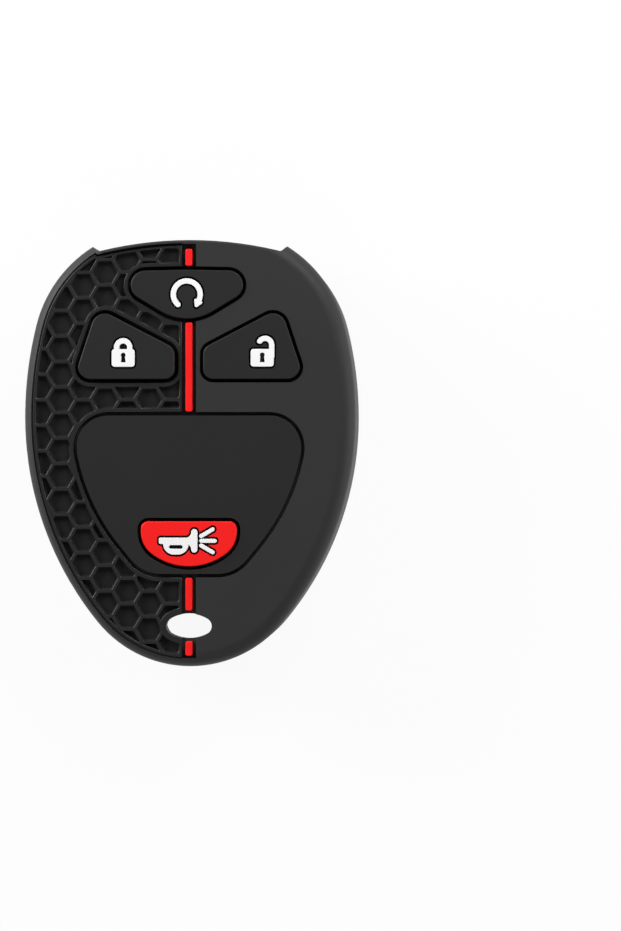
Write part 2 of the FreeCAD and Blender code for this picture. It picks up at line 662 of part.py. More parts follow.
def build():
    pieces = {"cover_shell": cover_shell(), "honeycomb_panel": honeycomb_panel()}
    eye_half = EYE_HEIGHT / 2
    start_box = START_OPENING.BoundBox
    palm_box = PALM_OPENING.BoundBox
    pieces["red_strip_top"] = red_strip(start_box.YMax + STRIP_END_GAP, MOUTH_Y - STRIP_TOP_INSET)
    pieces["red_strip_middle"] = red_strip(palm_box.YMax + STRIP_END_GAP, start_box.YMin - STRIP_END_GAP)
    pieces["red_strip_lower"] = red_strip(EYE_Y + eye_half + STRIP_EYE_GAP, palm_box.YMin - STRIP_END_GAP)
    pieces["red_strip_tail"] = red_strip(TAIL_Y + STRIP_TAIL_INSET, EYE_Y - eye_half - STRIP_EYE_GAP)
    buttons = {"start": (START_CORNERS, ring_arrow()),
               "lock": (LOCK_CORNERS, padlock(LOCK_ICON_SHIFT - LOCK_MIDDLE_X, False)),
               "unlock": (UNLOCK_CORNERS, padlock(UNLOCK_ICON_SHIFT + LOCK_MIDDLE_X, True))}
    for name, (corners, (faces, holes)) in buttons.items():
        pad = joined(soft_block(corners, FRONT_UNDERSIDE, PAD_TOP), plunger(corners))
        pieces[name + "_button"] = pad.cut(moat(faces, ICON_FLOOR))
        pieces[name + "_icon"] = icon_solid(faces, holes, ICON_FLOOR)
        pieces[name + "_web"] = web(corners)
    pieces.update(panic_pieces())
    pieces["panic_web"] = web(PANIC_CORNERS)
    return pieces


os.makedirs("parts", exist_ok=True)
for name, shape in build().items():
    solids = shape.Solids
    if len(solids) != 1 or not shape.isValid():
        raise ValueError(f"{name}: {len(solids)} solids, valid {shape.isValid()}")
    solids[0].exportStep(f"parts/{name}.step")
    print(name, round(solids[0].Volume, 2), "mm3")
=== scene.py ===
"""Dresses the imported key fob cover: soft edges, a honeycomb panel, silicone finishes, light and camera.

The cover lies on its back: +Z comes out of the button face and +Y points to the open mouth. Outlines and
profiles are in millimetres, and every mesh is in metres.
"""
import json
import math

import bmesh
import bpy
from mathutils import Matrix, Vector

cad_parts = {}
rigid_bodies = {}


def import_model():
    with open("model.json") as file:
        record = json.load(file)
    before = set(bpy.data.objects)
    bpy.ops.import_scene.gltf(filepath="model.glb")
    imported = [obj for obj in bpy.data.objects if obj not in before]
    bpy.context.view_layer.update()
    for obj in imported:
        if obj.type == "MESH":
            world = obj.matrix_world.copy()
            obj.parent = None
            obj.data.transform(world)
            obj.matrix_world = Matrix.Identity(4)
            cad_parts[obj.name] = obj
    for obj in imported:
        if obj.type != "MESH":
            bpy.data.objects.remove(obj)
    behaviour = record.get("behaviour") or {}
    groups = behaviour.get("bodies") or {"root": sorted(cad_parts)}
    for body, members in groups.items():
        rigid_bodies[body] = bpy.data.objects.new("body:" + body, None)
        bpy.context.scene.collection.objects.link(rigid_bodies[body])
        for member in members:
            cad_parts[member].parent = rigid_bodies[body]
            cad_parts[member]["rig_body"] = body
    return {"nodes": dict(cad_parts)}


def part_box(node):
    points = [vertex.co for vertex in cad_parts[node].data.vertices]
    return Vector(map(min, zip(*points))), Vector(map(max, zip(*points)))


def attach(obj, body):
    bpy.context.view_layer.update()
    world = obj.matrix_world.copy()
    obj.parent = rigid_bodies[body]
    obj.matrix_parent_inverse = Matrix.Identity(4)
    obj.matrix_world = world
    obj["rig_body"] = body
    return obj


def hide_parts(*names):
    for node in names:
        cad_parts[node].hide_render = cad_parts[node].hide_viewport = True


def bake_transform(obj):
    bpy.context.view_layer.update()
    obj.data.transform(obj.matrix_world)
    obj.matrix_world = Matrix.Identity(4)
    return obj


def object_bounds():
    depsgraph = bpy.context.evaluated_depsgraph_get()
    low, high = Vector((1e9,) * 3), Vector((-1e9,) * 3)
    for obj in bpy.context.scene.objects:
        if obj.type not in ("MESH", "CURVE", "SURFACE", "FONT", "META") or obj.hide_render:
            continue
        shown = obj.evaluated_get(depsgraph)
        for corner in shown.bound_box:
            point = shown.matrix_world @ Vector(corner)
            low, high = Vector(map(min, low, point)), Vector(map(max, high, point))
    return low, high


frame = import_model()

bl_info = {
    "name": "Key fob cover",
    "version": (1, 0, 0),
    "blender": (4, 5, 0),
    "location": "View3D > Sidebar > Fob cover",
    "description": "Moulded silicone cover with four button pads, a honeycomb panel and a key-ring eye",
    "category": "Object",
}

CAD_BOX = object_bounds()
MM = 0.001

PANEL_LOW, PANEL_HIGH = [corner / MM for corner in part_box("honeycomb_panel")]

# The face of the cover: egg outline, mouth with its two notches, and key-ring eye
MOUTH_Y = 27.6
TAIL_Y = -27.6
SIDE_X = 21.5
WIDEST_Y = 4.75
TAIL_RADIUS = 15.5
UPPER_FLANK_RADIUS = 49.2
SHOULDER_RADIUS = 16.8
CROWN_RADIUS = 26.7
CROWN_TRIM = 2.55
NOTCH_DROP = 1.47
TIP_WIDTH = 1.8
NOTCH_ANGLE = 44.0
EYE_Y = -22.3
EYE_HALF_WIDTH = 2.95
EYE_HALF_HEIGHT = 1.605
EYE_END_RADIUS = 1.1

# Outlines of the pads, counter-clockwise: x, y and rounding of each corner
START_CORNERS = [(-0.26, 16.34, 6.5), (11.62, 23.5, 1.87), (-0.26, 23.75, 60.0), (-12.14, 23.5, 1.87)]
UNLOCK_CORNERS = [(1.87, 9.62, 1.25), (14.93, 9.62, 1.55), (11.88, 18.83, 1.74), (1.87, 13.62, 1.4)]
LOCK_CORNERS = [(-x, y, radius) for x, y, radius in reversed(UNLOCK_CORNERS)]
PALM_CORNERS = [(6.02, -15.57, 5.0), (13.12, -6.78, 26.5), (14.52, 0.11, 3.4), (14.52, 4.9, 4.1),
                (-14.52, 4.9, 4.1), (-14.52, 0.11, 3.4), (-13.12, -6.78, 26.5), (-6.02, -15.57, 5.0)]
PANIC_CORNERS = [(0.0, -16.31, 7.9), (6.2, -12.0, 3.6), (6.2, -8.77, 0.95),
                 (-6.2, -8.77, 0.95), (-6.2, -12.0, 3.6)]
BUTTONS = {"start": START_CORNERS, "lock": LOCK_CORNERS, "unlock": UNLOCK_CORNERS, "panic": PANIC_CORNERS}

# Groove round each pad, and how far a flexing skin is tucked into the walls on both sides of it
GROOVE = 0.45
SKIN_TUCK = 0.03

# Panel on the left half: its edge, the ledge that fills the gap to the rim, its frame along the rim and along
# the other sides, the collars round the pads and the eye, and the lattice of its cells
PANEL_INSET = 1.18
PANEL_MOUTH_DROP = 0.65
CHANNEL_HALF = 0.92
LEDGE = 0.17
LEDGE_DROP = 0.22
RIM_FRAME = 0.42
FRAME_WIDTH = 0.35
COLLAR = 0.55
EYE_COLLAR = 0.85
FIRST_CELL = (-22.316, -29.35)
COLUMNS = 9
ROWS = 19

# Corners of outlines: the least radius, and the most of a side that the roundings at its ends may take up
SHARPEST_CORNER = 0.2
ROUNDED_SHARE = 0.98

# Steps round a corner, along each arc of the egg and of the eye, along the mouth, up a lip and across a skin
CORNER_STEPS = 8
EGG_STEPS = 20
EYE_STEPS = 10
MOUTH_STEPS = 24
LIP_STEPS = 4
SKIN_STEPS = 6

# Meshes: points closer than MERGE become one, edges past SOFT_ANGLE are rounded, and those past CREASE_ANGLE
# stay creases. A face is level where its normal's Z is past LEVEL. Corners next to it take its normal where
# their own face leans its way by more than STEEP. A cutting body stands CUT_MARGIN past what it cuts.
MERGE = 0.05
SOFT_ANGLE = math.radians(30.0)
SOFT_SEGMENTS = 3
CREASE_ANGLE = math.radians(50.0)
LEVEL = 0.99999
STEEP = 0.1
CUT_MARGIN = 0.5

# Stage: the camera, with its sensor in millimetres, and in metres the floor and the softboxes. A softbox has
# its place, its size and its power in watts.
SENSOR_WIDTH = 36.0
CLIP_START = 0.01
FLOOR_HALF = 3.0
FLOOR_GAP = 0.01 * MM
FLOOR_COLOUR = "#f2f2f2"
FLOOR_GLOW = 0.93
SOFTBOXES = {
    "Right softbox": ((0.4, 0.05, 0.08), 0.16, 0.4),
    "Left softbox": ((-0.35, 0.2, 0.15), 0.22, 2.0),
    "Top softbox": ((0.12, 0.2, 0.18), 0.12, 0.46),
    "Front softbox": ((0.0, -0.5, 0.45), 0.3, 0.45),
}

# The dome of the studio: its strength at the horizon and overhead, and the rise where overhead begins
DOME_LOW = 0.5
DOME_HIGH = 0.15
DOME_RISE = 0.8


def to_linear(hex_colour):
    """Linear colour with alpha from an sRGB hex value."""
    shares = [int(hex_colour[i:i + 2], 16) / 255 for i in (1, 3, 5)]
    return [s / 12.92 if s <= 0.04045 else ((s + 0.055) / 1.055) ** 2.4 for s in shares] + [1.0]


def sized(name, description, millimetres):
    """A length that the user may change."""
    return bpy.props.FloatProperty(name=name, description=description, default=millimetres * MM,
                                   unit="LENGTH", precision=5)


def coloured(name, description, hex_colour):
    """A colour that the user may change."""
    return bpy.props.FloatVectorProperty(name=name, description=description, subtype="COLOR", size=4,
                                         min=0.0, max=1.0, default=to_linear(hex_colour))


class FobEdges(bpy.types.PropertyGroup):
    """Softness of the moulded edges."""
    shell: sized("Shell", "Rounding of the shell's lips and rims", 0.03)
    pads: sized("Pads", "Rounding of the button pads", 0.03)
    # Walls of the pads below this depth take the cell black: painted shade in the moats and the groove
    moat_shade_depth: sized("Moat lip", "Depth below the pads' tops from which their walls are blasted", 0.2)
    icons: sized("Icons", "Rounding of the white icons", 0.035)
    strips: sized("Strips", "Rounding of the red strips along their top", 0.12)
    strip_ends: sized("Strip ends", "Corner radius of the red strips", 0.25)
    skin: sized("Skin", "Thickness of the flexing skins round the buttons", 0.1)


class FobHoneycomb(bpy.types.PropertyGroup):
    """Cells of the panel on the left half."""
    pitch: sized("Pitch", "From one cell to the next", 3.3)
    rib: sized("Rib", "Width of the ribs between the cells", 0.46)
    depth: sized("Depth", "Depth of the cells", 0.65)
    lip: sized("Lip", "Rounding of the ribs along their top", 0.14)
    fillet: sized("Fillet", "Rounding between the wall and the floor of a cell", 0.22)
    corner: sized("Corner", "Corner radius of a cell", 0.16)
    smallest: bpy.props.FloatProperty(name="Smallest cell",
                                      description="Clipped cells below this area are left out",
                                      default=0.7 * MM * MM, unit="AREA", precision=8)


class FobColours(bpy.types.PropertyGroup):
    """Colours of the silicones."""
    black: coloured("Black", "Black silicone of the shell", "#272727")
    rib_black: coloured("Rib black", "Black silicone of the honeycomb's ribs and frame", "#242424")
    # The pad black is a darker copy of the shell's black: painted shade
    pad_black: coloured("Pad black", "Black silicone of the button pads and the palm pad", "#1d1d1d")
    # The cell black is painted shade: a far darker black on the floors of the cells, in the moats and on the
    # pads' walls
    floor_black: coloured("Cell black", "Black silicone on the floors of the cells and the moats", "#0c0c0c")
    red: coloured("Red", "Red silicone of the strips and the panic button", "#fe0e0c")
    white: coloured("White", "White silicone of the icons", "#fafafa")


class FobStage(bpy.types.PropertyGroup):
    """Place of the camera."""
    aim_x: sized("Aim X", "Middle of the picture, to the right of the cover's middle", 15.55)
    aim_y: sized("Aim Y", "Middle of the picture, above the cover's middle", -1.55)
    aim_z: sized("Aim Z", "Middle of the picture, above the floor", 12.0)
    distance: sized("Distance", "From the camera to the middle of the picture", 450.0)
    view_height: sized("View height", "What the picture shows from top to bottom", 121.17)
    turn: bpy.props.FloatProperty(name="Turn", description="Camera turned to the right of straight ahead",
                                  default=math.radians(2.6), subtype="ANGLE")


class FobCover(bpy.types.PropertyGroup):
    """Everything about the cover that a user would change."""
    edges: bpy.props.PointerProperty(type=FobEdges)
    honeycomb: bpy.props.PointerProperty(type=FobHoneycomb)
    colours: bpy.props.PointerProperty(type=FobColours)
    stage: bpy.props.PointerProperty(type=FobStage)


def settings():
    """The values that the user may change."""
    return bpy.context.scene.fob_cover


def add(tree, kind, setup=None, **inputs):
    """Adds a node with its settings and its inputs.

    An input goes by its name, with _ for a space, or by its number after _. An input given as a socket, or
    as a list of sockets, is linked, and any other is set.
    """
    node = tree.nodes.new(kind)
    for name, value in (setup or {}).items():
        setattr(node, name, value)
    for name, value in inputs.items():
        socket = node.inputs[int(name[1:]) if name[1:].isdigit() else name.replace("_", " ")]
        sources = value if isinstance(value, list) else [value]
        if isinstance(sources[0], bpy.types.NodeSocket):
            for source in sources:
                tree.links.new(source, socket)
        else:
            socket.default_value = value
    return node


# Materials

# Silicone rubber takes the face of its mould: the grit there scatters the gloss and gives a fine relief, and
# the pigment is a little cloudy. Real grit is under 0.1 mm, and is drawn at about 0.2 to 0.3 mm to show here.
SILICONE_IOR = 1.41
CLOUD_SIZE = 9.0
GRIT_HEIGHT = 0.02
GLOSS_SPREAD = 0.06

# Each silicone: its colour, the tone of its clouds against that, roughness, grit and strength of the relief
SILICONES = {
    # From a matt mould: a deep grey with broad, soft light and no mirror image
    "Moulded black silicone": ("black", 1.2, 0.58, 0.22, 0.25),
    # From a polished mould: narrow bright lines along the rounded ribs
    "Glossy black silicone": ("rib_black", 1.2, 0.32, 0.22, 0.15),
    # From a finely ground mould: smoother than the shell. Its darker colour is painted shade, so that the
    # pads stand out
    "Fine black silicone": ("pad_black", 1.2, 0.5, 0.18, 0.2),
    # Nearly black, a painted shade so that cells and moats look deep, and dull from a high roughness
    "Blasted black silicone": ("floor_black", 1.2, 0.75, 0.3, 0.4),
    # Coloured right through, from a matt mould: a strong even red with a low sheen
    "Moulded red silicone": ("red", 0.96, 0.55, 0.25, 0.15),
    # Coloured right through, from a matt mould: a clean white with a low sheen
    "Moulded white silicone": ("white", 0.97, 0.55, 0.25, 0.1),
}


def new_material(name):
    """An empty material and its node tree."""
    material = bpy.data.materials.new(name)
    material.use_nodes = True
    material.node_tree.nodes.clear()
    return material, material.node_tree


def silicone(name, colour, cloud_tone, roughness, grit, bump):
    """Moulded silicone rubber: a soft satin face with the fine grit of the mould and a faint cloudiness."""
    tree = new_material(name)[1]
    place = add(tree, "ShaderNodeTexCoord").outputs["Object"]
    grain = add(tree, "ShaderNodeTexNoise", Vector=place, Scale=1 / (grit * MM), Detail=3.0, Roughness=0.6)
    cloud = add(tree, "ShaderNodeTexNoise", Vector=place, Scale=1 / (CLOUD_SIZE * MM), Detail=2.0)
    other = tuple(min(1.0, share * cloud_tone) for share in colour[:3]) + (1.0,)
    tint = add(tree, "ShaderNodeMix", {"data_type": "RGBA"}, _0=cloud.outputs["Fac"], _6=tuple(colour),
               _7=other)
    satin = add(tree, "ShaderNodeMapRange", Value=grain.outputs["Fac"], To_Min=roughness - GLOSS_SPREAD,
                To_Max=roughness + GLOSS_SPREAD)
    relief = add(tree, "ShaderNodeBump", Strength=bump, Distance=GRIT_HEIGHT * MM,
                 Height=grain.outputs["Fac"])
    shader = add(tree, "ShaderNodeBsdfPrincipled", Base_Color=tint.outputs[2], IOR=SILICONE_IOR,
                 Roughness=satin.outputs["Result"], Normal=relief.outputs["Normal"])
    add(tree, "ShaderNodeOutputMaterial", Surface=shader.outputs["BSDF"])


def finishes():
    """The silicones of the cover, made once."""
    made = bpy.data.materials
    for name, (colour, *look) in SILICONES.items():
        if name not in made:
            silicone(name, getattr(settings().colours, colour), *look)
    return made


# Outlines: each gives the points of a closed line, counter-clockwise, widened by grow all round

def arc(centre, radius, start, end, steps):
    """Points on a circle from one direction to another, the shorter way round."""
    first = math.atan2(start.y, start.x)
    turn = (math.atan2(end.y, end.x) - first + math.pi) % (2 * math.pi) - math.pi
    angles = [first + turn * i / steps for i in range(steps + 1)]
    return [centre + Vector((math.cos(angle), math.sin(angle))) * radius for angle in angles]


def mirrored(points):
    """The other half of a symmetric line, in the order that goes on round it."""
    return [Vector((-place.x, place.y)) for place in reversed(points)]


def rounded_outline(corners, grow):
    """A polygon with rounded corners."""
    count = len(corners)
    places = [Vector((x, y)) for x, y, radius in corners]
    ways = [(places[(i + 1) % count] - places[i]).normalized() for i in range(count)]
    halves = [ways[i - 1].angle(ways[i]) / 2 for i in range(count)]
    outward = [(ways[i - 1] - ways[i]).normalized() for i in range(count)]
    tips = [places[i] + outward[i] * (grow / math.cos(halves[i])) for i in range(count)]
    radii = [max(radius + grow, SHARPEST_CORNER) for x, y, radius in corners]
    reaches = [radii[i] * math.tan(halves[i]) for i in range(count)]
    crowding = [(reaches[i - 1] + reaches[i]) / (tips[i] - tips[i - 1]).length for i in range(count)]
    points = []
    for i in range(count):
        radius = radii[i] / max(1.0, crowding[i] / ROUNDED_SHARE, crowding[(i + 1) % count] / ROUNDED_SHARE)
        centre = tips[i] - outward[i] * (radius / math.cos(halves[i]))
        start, end = [Vector((way.y, -way.x)) for way in (ways[i - 1], ways[i])]
        points += arc(centre, radius, start, end, CORNER_STEPS)
    return points


def rectangle(low, high, radius):
    """Corners of a rounded rectangle."""
    return [(low.x, low.y, radius), (high.x, low.y, radius),
            (high.x, high.y, radius), (low.x, high.y, radius)]


def egg_circles():
    """Centres and radii from the tail up the right side to the crown."""
    tail = Vector((0, TAIL_Y + TAIL_RADIUS))
    rise = WIDEST_Y - tail.y
    lower_radius = (SIDE_X ** 2 + rise ** 2 - TAIL_RADIUS ** 2) / (2 * (SIDE_X - TAIL_RADIUS))
    lower = Vector((SIDE_X - lower_radius, WIDEST_Y))
    upper = Vector((SIDE_X - UPPER_FLANK_RADIUS, WIDEST_Y))
    crown = Vector((0, MOUTH_Y + CROWN_TRIM - CROWN_RADIUS))
    to_shoulder = UPPER_FLANK_RADIUS - SHOULDER_RADIUS
    from_crown = CROWN_RADIUS - SHOULDER_RADIUS
    span = (crown - upper).length
    along = (crown - upper).normalized()
    step = (span ** 2 + to_shoulder ** 2 - from_crown ** 2) / (2 * span)
    shoulder = upper + along * step + Vector((-along.y, along.x)) * math.sqrt(to_shoulder ** 2 - step ** 2)
    return [(tail, TAIL_RADIUS), (lower, lower_radius), (upper, UPPER_FLANK_RADIUS),
            (shoulder, SHOULDER_RADIUS), (crown, CROWN_RADIUS)]


def egg_outline(grow):
    """The egg outline of the cover."""
    circles = egg_circles()
    tail, lower, upper, shoulder, crown = [centre for centre, radius in circles]
    turns = [Vector((0, -1)), tail - lower, Vector((1, 0)), shoulder - upper, shoulder - crown,
             Vector((0, 1))]
    half = []
    for (centre, radius), start, end in zip(circles, turns, turns[1:]):
        half += arc(centre, radius + grow, start, end, EGG_STEPS)[:-1]
    top = crown + Vector((0, CROWN_RADIUS + grow))
    return half + [top] + mirrored(half[1:])


def eye_outline(grow):
    """Four-arc oval of the key-ring eye."""
    width = EYE_HALF_WIDTH + grow
    rise = EYE_HALF_HEIGHT + grow
    end = EYE_END_RADIUS + grow
    flank = ((width - end) ** 2 + rise ** 2 - end ** 2) / (2 * (rise - end))
    way = Vector((width - end, flank - rise)).normalized()
    below = Vector((way.x, -way.y))
    right = arc(Vector((width - end, EYE_Y)), end, below, way, EYE_STEPS)
    over = arc(Vector((0, EYE_Y + rise - flank)), flank, way, Vector((-way.x, way.y)), EYE_STEPS)
    under = [Vector((place.x, 2 * EYE_Y - place.y)) for place in over]
    return right + over[1:-1] + mirrored(right) + list(reversed(under))[1:-1]


def left_outline(right_edge, drop, grow):
    """Everything left of an edge and below the mouth with its left notch, lowered by the drop."""
    shoulder, radius = egg_circles()[3]
    corner_y = MOUTH_Y - NOTCH_DROP
    corner_x = shoulder.x + math.sqrt(radius ** 2 - (corner_y - shoulder.y) ** 2) - TIP_WIDTH
    bow = (corner_x ** 2 + NOTCH_DROP ** 2) / (2 * NOTCH_DROP)
    lift = grow - drop
    right = right_edge + grow
    top = [(right + (-corner_x - right) * i / MOUTH_STEPS) for i in range(MOUTH_STEPS + 1)]
    far_y = corner_y + (2 * SIDE_X - corner_x) * math.tan(math.radians(NOTCH_ANGLE))
    line = [Vector((x, MOUTH_Y - bow + math.sqrt(bow ** 2 - x ** 2) + lift)) for x in top]
    return [Vector((right, 2 * TAIL_Y)), *line, Vector((-2 * SIDE_X, far_y + lift)),
            Vector((-2 * SIDE_X, 2 * TAIL_Y))]


def encloses(outline, place):
    """Whether a place is inside an outline, which a line to its right then crosses an odd number of times."""
    crossings = [(a, b) for a, b in zip(outline, outline[1:] + outline[:1])
                 if (a.y > place.y) != (b.y > place.y)
                 and place.x < a.x + (place.y - a.y) / (b.y - a.y) * (b.x - a.x)]
    return len(crossings) % 2 == 1


# Meshes

def new_piece(name, mesh, *materials):
    """A piece in the scene, with its mesh and its finishes."""
    piece = bpy.data.objects.new(name, mesh)
    bpy.context.scene.collection.objects.link(piece)
    mesh.materials.clear()
    for material in materials:
        mesh.materials.append(finishes()[material])
    return piece


def baked(piece):
    """Turns the modifiers of a piece into its plain mesh."""
    graph = bpy.context.evaluated_depsgraph_get()
    mesh = bpy.data.meshes.new_from_object(piece.evaluated_get(graph), preserve_all_data_layers=True,
                                           depsgraph=graph)
    piece.modifiers.clear()
    piece.data = mesh
    return piece


def smooth(piece):
    """Smooth shading, with creases sharp and level faces flat right up to their soft edges."""
    mesh = piece.data
    for face in mesh.polygons:
        face.use_smooth = True
    mesh.set_sharp_from_angle(angle=CREASE_ANGLE)
    normals = [corner.vector.copy() for corner in mesh.corner_normals]
    level = {vertex: face.normal.copy() for face in mesh.polygons if abs(face.normal.z) > LEVEL
             for vertex in face.vertices}
    for face in mesh.polygons:
        for corner, vertex in zip(face.loop_indices, face.vertices):
            if vertex in level and face.normal.dot(level[vertex]) > STEEP:
                normals[corner] = level[vertex]
    mesh.normals_split_custom_set(normals)
    return piece


def soften(piece, width):
    """Rounds the sharp edges of a closed mesh."""
    bevel = piece.modifiers.new("Soft edges", "BEVEL")
    bevel.width = width
    bevel.segments = SOFT_SEGMENTS
    bevel.limit_method = "ANGLE"
    bevel.angle_limit = SOFT_ANGLE
    bevel.use_clamp_overlap = False
    bevel.loop_slide = False
    return smooth(baked(piece))


def closed_copy(node):
    """A closed copy of a CAD node's mesh, without edges too short to be rounded."""
    mesh = frame["nodes"][node].data.copy()
    build = bmesh.new()
    build.from_mesh(mesh)
    bmesh.ops.remove_doubles(build, verts=build.verts, dist=MERGE * MM)
    build.to_mesh(mesh)
    build.free()
    return mesh


def edge_profile(low, high, radius):
    """Widening and height up a wall whose top edge is rounded."""
    turns = [math.pi / 2 * i / LIP_STEPS for i in range(LIP_STEPS + 1)]
    lip = [(radius * (math.cos(turn) - 1), high + radius * (math.sin(turn) - 1)) for turn in turns]
    return [(0.0, low)] + lip


def loft(outline, profile, is_ring=False):
    """A closed solid through an outline that a profile widens and raises. A ring ends at its first step."""
    build = bmesh.new()
    rings = [[build.verts.new((place.x * MM, place.y * MM, height * MM)) for place in outline(grow)]
             for grow, height in profile]
    for low, high in zip(rings, rings[1:] + rings[:1] if is_ring else rings[1:]):
        for i in range(len(low)):
            build.faces.new((low[i - 1], low[i], high[i], high[i - 1]))
    if not is_ring:
        build.faces.new(list(reversed(rings[0])))
        build.faces.new(rings[-1])
    mesh = bpy.data.meshes.new("loft")
    build.to_mesh(mesh)
    build.free()
    return mesh


def combined(piece, mesh, operation):
    """Joins a mesh to a piece by a boolean operation, and throws away the object that held it."""
    tool = bpy.data.objects.new("tool", mesh)
    bpy.context.scene.collection.objects.link(tool)
    change = piece.modifiers.new("Cut", "BOOLEAN")
    change.object = tool
    change.operation = operation
    change.solver = "EXACT"
    baked(piece)
    bpy.data.objects.remove(tool)
    return piece


def left_field(name, inset, right_edge, drop, pad_grow, eye_grow, profile, ledge=()):
    """The left half of the face inside an inset outline, cut out round the pads and the eye.

    The profile shapes all its sides. A ledge takes the place of the profile's foot along the outline.
    """
    taller = [(profile[0][0], profile[0][1] - CUT_MARGIN)] + profile
    taller += [(profile[-1][0], profile[-1][1] + CUT_MARGIN)]
    shrinking = [(-grow, height) for grow, height in taller]
    sides = [*ledge, *profile[1:]] if ledge else profile
    field = new_piece(name, loft(lambda grow: egg_outline(grow - inset), sides), "Moulded black silicone")
    combined(field, loft(lambda grow: left_outline(right_edge, drop, grow), taller), "INTERSECT")
    for corners in (START_CORNERS, LOCK_CORNERS, PALM_CORNERS):
        pad = loft(lambda grow: rounded_outline(corners, pad_grow + grow), shrinking)
        combined(field, pad, "DIFFERENCE")
    return combined(field, loft(lambda grow: eye_outline(eye_grow + grow), shrinking), "DIFFERENCE")


def finished(piece, body, slot, *nodes):
    """Hangs a piece on its body, in place of CAD nodes, which it hides."""
    if body:
        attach(piece, body)
    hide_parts(*nodes)
    return piece


def dressed(node, name, material, width, slot):
    """A soft-edged piece that stands for a CAD node and rides on its body."""
    piece = soften(new_piece(name, closed_copy(node), material), width)
    return finished(piece, frame["nodes"][node]["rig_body"], slot, node)


# Honeycomb

# From a hexagon's middle to its flat side, as a share of its radius, and from column to column, of the pitch
HEXAGON = math.cos(math.pi / 6)
CELL_CORNER_POINTS = 3

# A cell's wall, from its floor to just above the panel: the size that a step goes by, its rise and its spread
CELL_STEPS = (("Fillet", 0.0, -1.0), ("Fillet", 0.29, -0.29), ("Fillet", 1.0, 0.0),
              ("Lip", -1.0, 0.0), ("Lip", -0.29, 0.29), ("Lip", 0.3, 1.3))

# Points of a cell within WELD become one. Faces whose normal's Z is past UPWARD give a clipped cell's area,
# and those below SHADE_SHARE of its depth take the darker, matt floor black, a painted shade. The field that
# clips the cells ends FIELD_RISE above them.
WELD = 0.001
UPWARD = 0.9
SHADE_SHARE = 0.85
FIELD_RISE = 1.0


